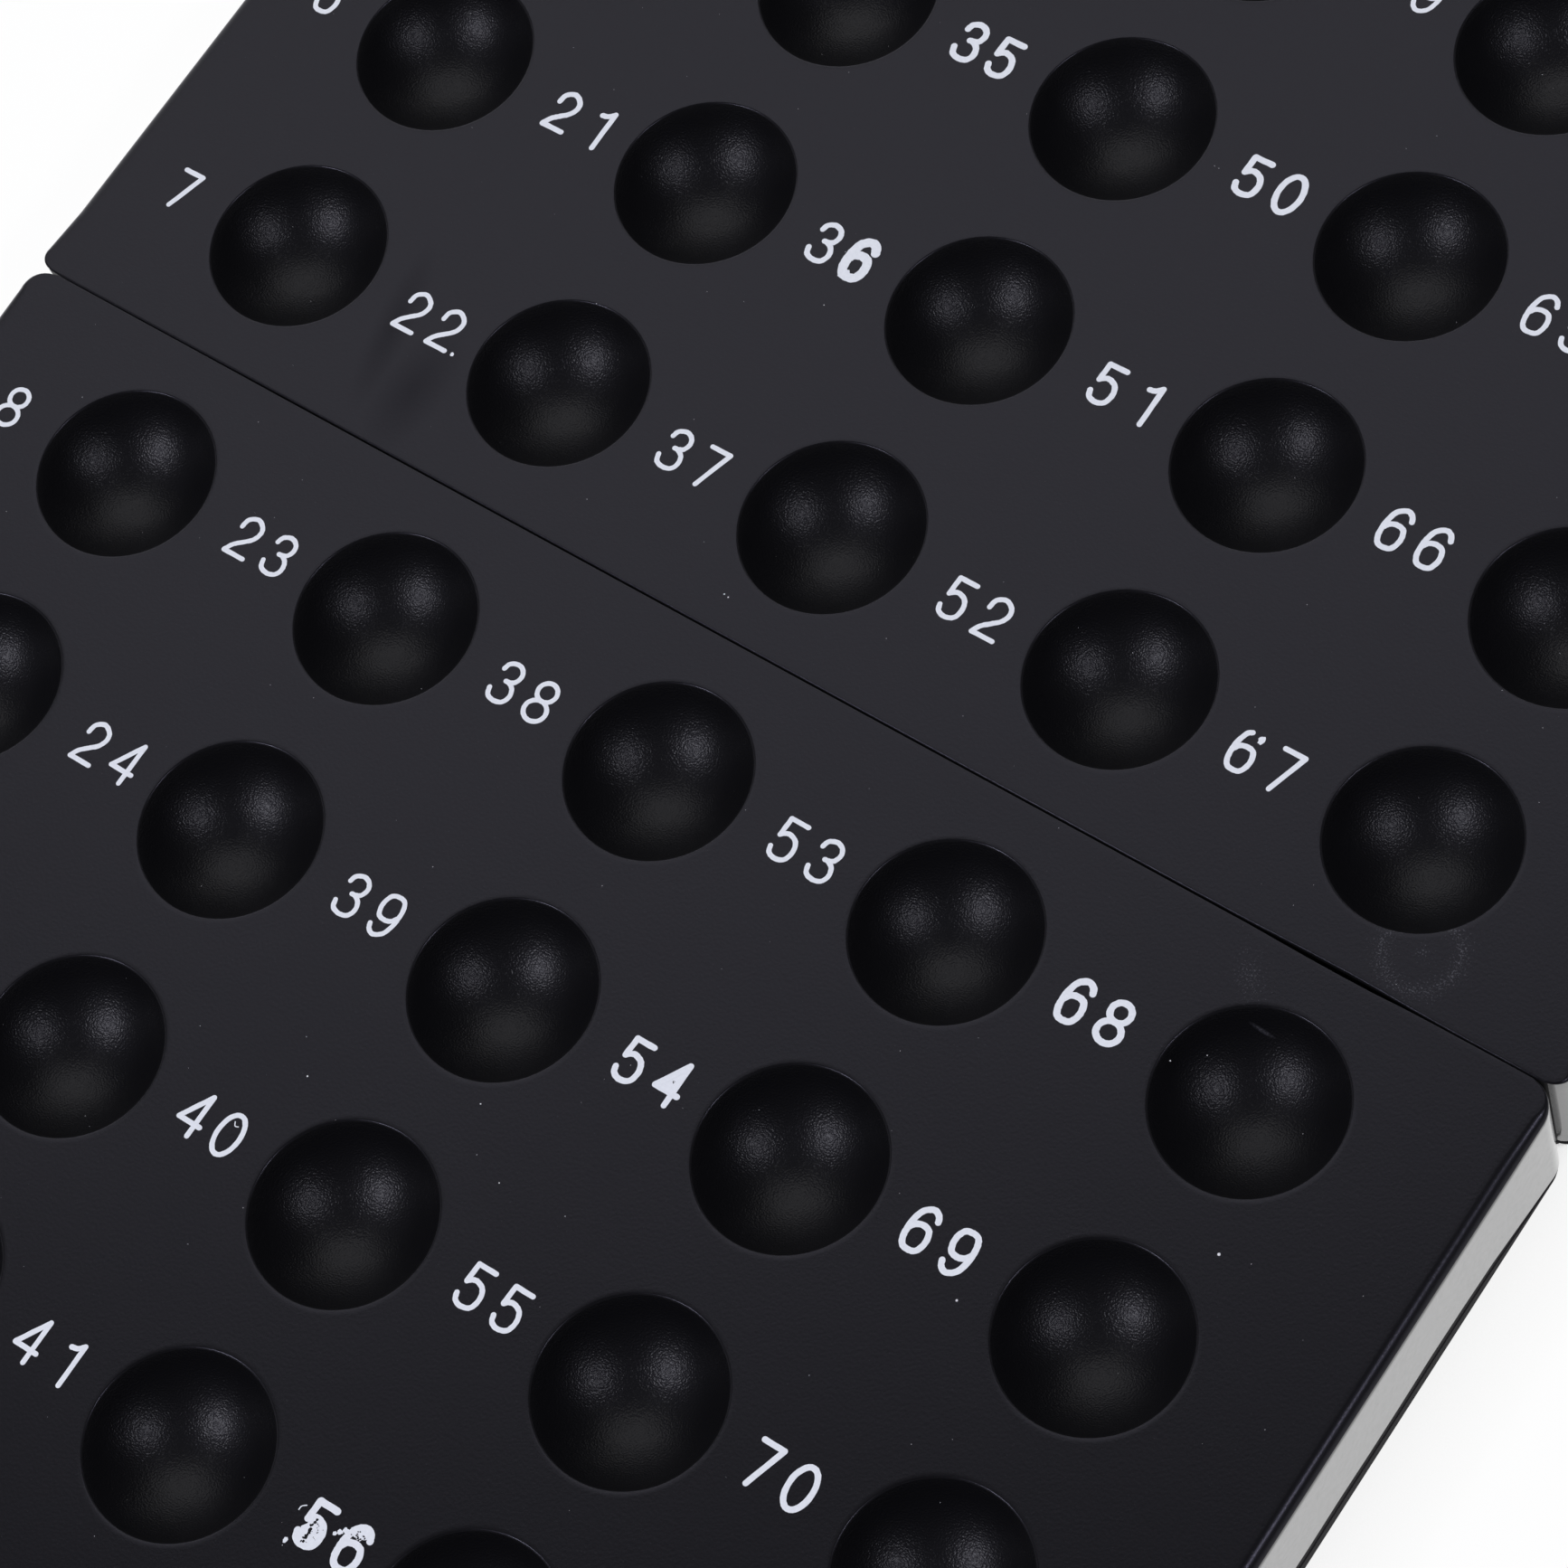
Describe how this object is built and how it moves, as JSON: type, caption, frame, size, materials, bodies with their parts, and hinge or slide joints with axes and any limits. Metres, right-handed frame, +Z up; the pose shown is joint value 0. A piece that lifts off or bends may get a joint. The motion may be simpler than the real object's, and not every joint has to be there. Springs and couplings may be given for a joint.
{
  "type": "bingo ball board",
  "caption": "Flat black tray in two halves with rows of numbered round cups that hold drawn bingo balls.",
  "frame": {"origin": "the middle of the seam between the halves, on the surface that the board lies on", "axes": "+Z up out of the cups, +Y along the board from the lower half to the upper half, +X across the columns, to the right of someone who reads the numbers"},
  "size_m": [0.206, 0.4804, 0.018],
  "materials": {
    "board_plastic": "fine moulded grain on top, smooth side walls",
    "key_plastic": "smooth moulded",
    "number_ink": "printed ink"
  },
  "bodies": {
    "lower_board": {"lower_half": "board_plastic", "seam_key_1": "key_plastic", "seam_key_2": "key_plastic", "seam_key_3": "key_plastic", "seam_key_4": "key_plastic"},
    "upper_board": {"upper_half": "board_plastic"}
  },
  "joints": [
    {"name": "halves_slide", "type": "slide", "parent": "lower_board", "child": "upper_board", "axis": [0, 1, 0], "range_m": [0, 0.012]}
  ]
}
